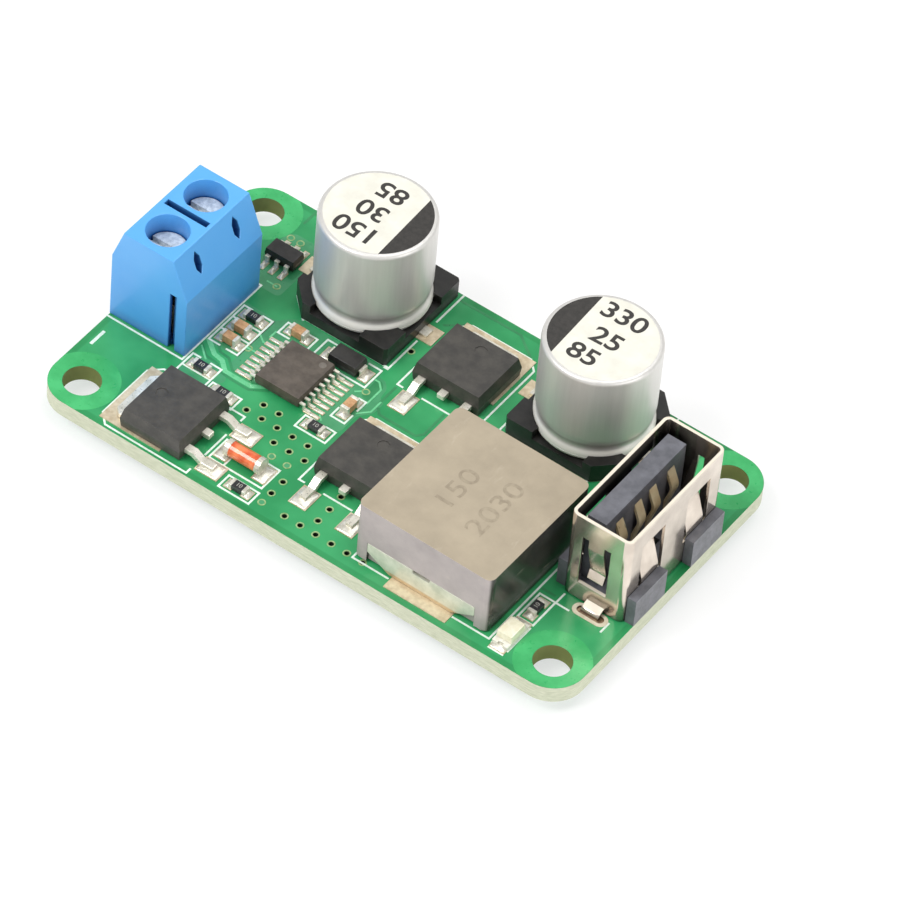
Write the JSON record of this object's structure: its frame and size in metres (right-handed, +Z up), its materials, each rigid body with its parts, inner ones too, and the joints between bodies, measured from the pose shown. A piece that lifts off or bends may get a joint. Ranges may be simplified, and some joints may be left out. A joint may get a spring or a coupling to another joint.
{
  "type": "buck converter module",
  "caption": "Small rectangular step-down power board with a blue two-pole screw terminal, upright metal socket, round can capacitors and a square power inductor",
  "frame": {"origin": "centre of the four mounting holes on the board's underside", "axes": "+X runs along the board's long side from the screw terminal to the upright socket, +Y across the board towards the can capacitors, +Z up out of the component side"},
  "size_m": [0.052, 0.0301, 0.0132],
  "materials": {
    "board_green": "satin solder mask over copper",
    "tin_plate": "satin tin plating",
    "solder": "bright solder",
    "terminal_blue": "satin moulded plastic",
    "screw_steel": "bright zinc plating",
    "clamp_steel": "nickel plating",
    "can_aluminium": "satin",
    "base_black": "matte moulded plastic",
    "inductor_tan": "matte pressed powder",
    "package_grey": "matte moulding compound",
    "glass_orange": "gloss",
    "lamp_cream": "clear moulded lens",
    "lamp_white": "matte",
    "resistor_black": "glazed",
    "capacitor_brown": "matte",
    "socket_nickel": "satin nickel",
    "socket_black": "matte moulded plastic",
    "contact_gold": "gold flash"
  },
  "bodies": {
    "module": {"circuit_board": "board_green", "tinned_lands": "tin_plate", "pin_solder": "solder", "terminal_housing": "terminal_blue", "terminal_floor": "terminal_blue", "terminal_contact_1": "tin_plate", "terminal_contact_2": "tin_plate", "input_capacitor_can": "can_aluminium", "input_capacitor_base": "base_black", "input_capacitor_tabs": "tin_plate", "output_capacitor_can": "can_aluminium", "output_capacitor_base": "base_black", "output_capacitor_tabs": "tin_plate", "inductor_body": "inductor_tan", "inductor_straps": "tin_plate", "controller_body": "package_grey", "controller_leads": "tin_plate", "sensor_body": "package_grey", "sensor_leads": "tin_plate", "flat_diode_body": "package_grey", "flat_diode_leads": "tin_plate", "glass_diode_tube": "glass_orange", "glass_diode_caps": "tin_plate", "lamp_base": "lamp_white", "lamp_lens": "lamp_cream", "chip_resistor_bodies": "resistor_black", "chip_resistor_ends": "tin_plate", "chip_capacitor_bodies": "capacitor_brown", "chip_capacitor_ends": "tin_plate", "socket_shell": "socket_nickel", "socket_insulator": "socket_black", "transistor_1_body": "package_grey", "transistor_1_tab": "tin_plate", "transistor_1_leads": "tin_plate", "transistor_2_body": "package_grey", "transistor_2_tab": "tin_plate", "transistor_2_leads": "tin_plate", "transistor_3_body": "package_grey", "transistor_3_tab": "tin_plate", "transistor_3_leads": "tin_plate", "socket_contact_1": "contact_gold", "socket_contact_2": "contact_gold", "socket_contact_3": "contact_gold", "socket_contact_4": "contact_gold"},
    "screw_1": {"terminal_screw_1": "screw_steel"},
    "screw_2": {"terminal_screw_2": "screw_steel"},
    "clamp_1": {"terminal_clamp_1": "clamp_steel"},
    "clamp_2": {"terminal_clamp_2": "clamp_steel"}
  },
  "joints": [
    {"name": "clamp_1_rise", "type": "slide", "parent": "module", "child": "clamp_1", "axis": [0, 0, 1], "range_m": [0, 0.0018]},
    {"name": "screw_1_turn", "type": "hinge", "parent": "module", "child": "screw_1", "pos_m": [-0.02245, -0.0024, 0.0097], "axis": [0, 0, -1], "range_deg": [0, 1297]},
    {"name": "clamp_2_rise", "type": "slide", "parent": "module", "child": "clamp_2", "axis": [0, 0, 1], "range_m": [0, 0.0018]},
    {"name": "screw_2_turn", "type": "hinge", "parent": "module", "child": "screw_2", "pos_m": [-0.02245, 0.0026, 0.0097], "axis": [0, 0, -1], "range_deg": [0, 1297]}
  ],
  "couplings": [
    {"joint": "screw_1_turn", "follows": "clamp_1_rise", "rad_per_m": 12566},
    {"joint": "screw_2_turn", "follows": "clamp_2_rise", "rad_per_m": 12566}
  ]
}
